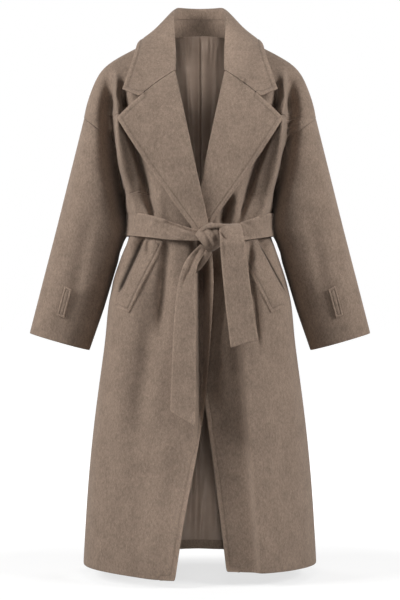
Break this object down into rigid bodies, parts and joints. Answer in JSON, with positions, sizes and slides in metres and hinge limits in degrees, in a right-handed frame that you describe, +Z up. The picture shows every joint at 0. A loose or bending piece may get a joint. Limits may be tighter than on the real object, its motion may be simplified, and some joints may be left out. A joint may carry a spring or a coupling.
{
  "type": "belted coat",
  "caption": "Long belted wool wrap coat with notched lapels, dropped shoulders, welt pockets and a tied belt, filled out and hollow.",
  "frame": {"origin": "middle of the neck opening, at the height where the shoulder seams reach the collar", "axes": "+Z up along the wearer, +X to the wearer's left, -Y to the front of the coat"},
  "size_m": [0.714, 0.3906, 1.18],
  "materials": {
    "wool": "brushed melton, matt with a short nap",
    "lining_satin": "smooth satin with a soft gloss"
  },
  "bodies": {
    "root": {"back": "wool", "front_left": "wool", "front_right": "wool", "lapel_left": "wool", "lapel_right": "wool", "collar_stand": "wool", "collar_fall": "wool", "sleeve_left": "wool", "sleeve_right": "wool", "sleeve_tab_left": "wool", "sleeve_tab_right": "wool", "pocket_welt_left": "wool", "pocket_welt_right": "wool", "belt_waist": "wool", "belt_knot": "wool", "belt_tail_left": "wool", "belt_tail_right": "wool", "hem_back": "wool", "lining_back": "lining_satin"}
  },
  "joints": []
}
